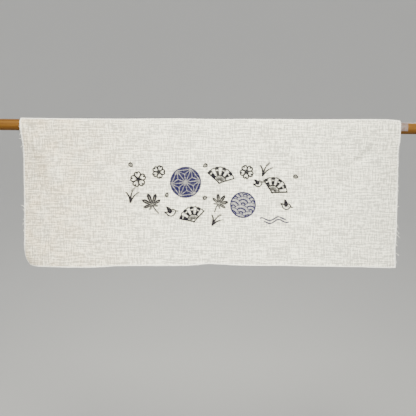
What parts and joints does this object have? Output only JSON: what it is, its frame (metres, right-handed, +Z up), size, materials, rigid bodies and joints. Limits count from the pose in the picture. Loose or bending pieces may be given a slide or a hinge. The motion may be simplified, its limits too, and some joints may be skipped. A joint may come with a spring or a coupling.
{
  "type": "tenugui towel on a rod",
  "caption": "Thin plain-woven cotton towel with a printed middle, its top margin taped along the front of a plain round wooden rod and hanging straight down.",
  "frame": {"origin": "on the rod's axis, at the middle of its length", "axes": "+X along the rod to the viewer's right, +Z up, the cloth's printed face towards -Y"},
  "size_m": [1.06, 0.0335, 0.3608],
  "materials": {
    "cotton": "plain-woven slubby cotton, undyed, matte, with dark brown and indigo print",
    "varnished_wood": "amber varnish, fine grain along the rod, low gloss",
    "paper_tape": "thin crinkled paper tape, greyish, slightly see-through"
  },
  "bodies": {
    "root": {"rod": "varnished_wood", "tape": "paper_tape", "tenugui": "cotton"}
  },
  "joints": []
}
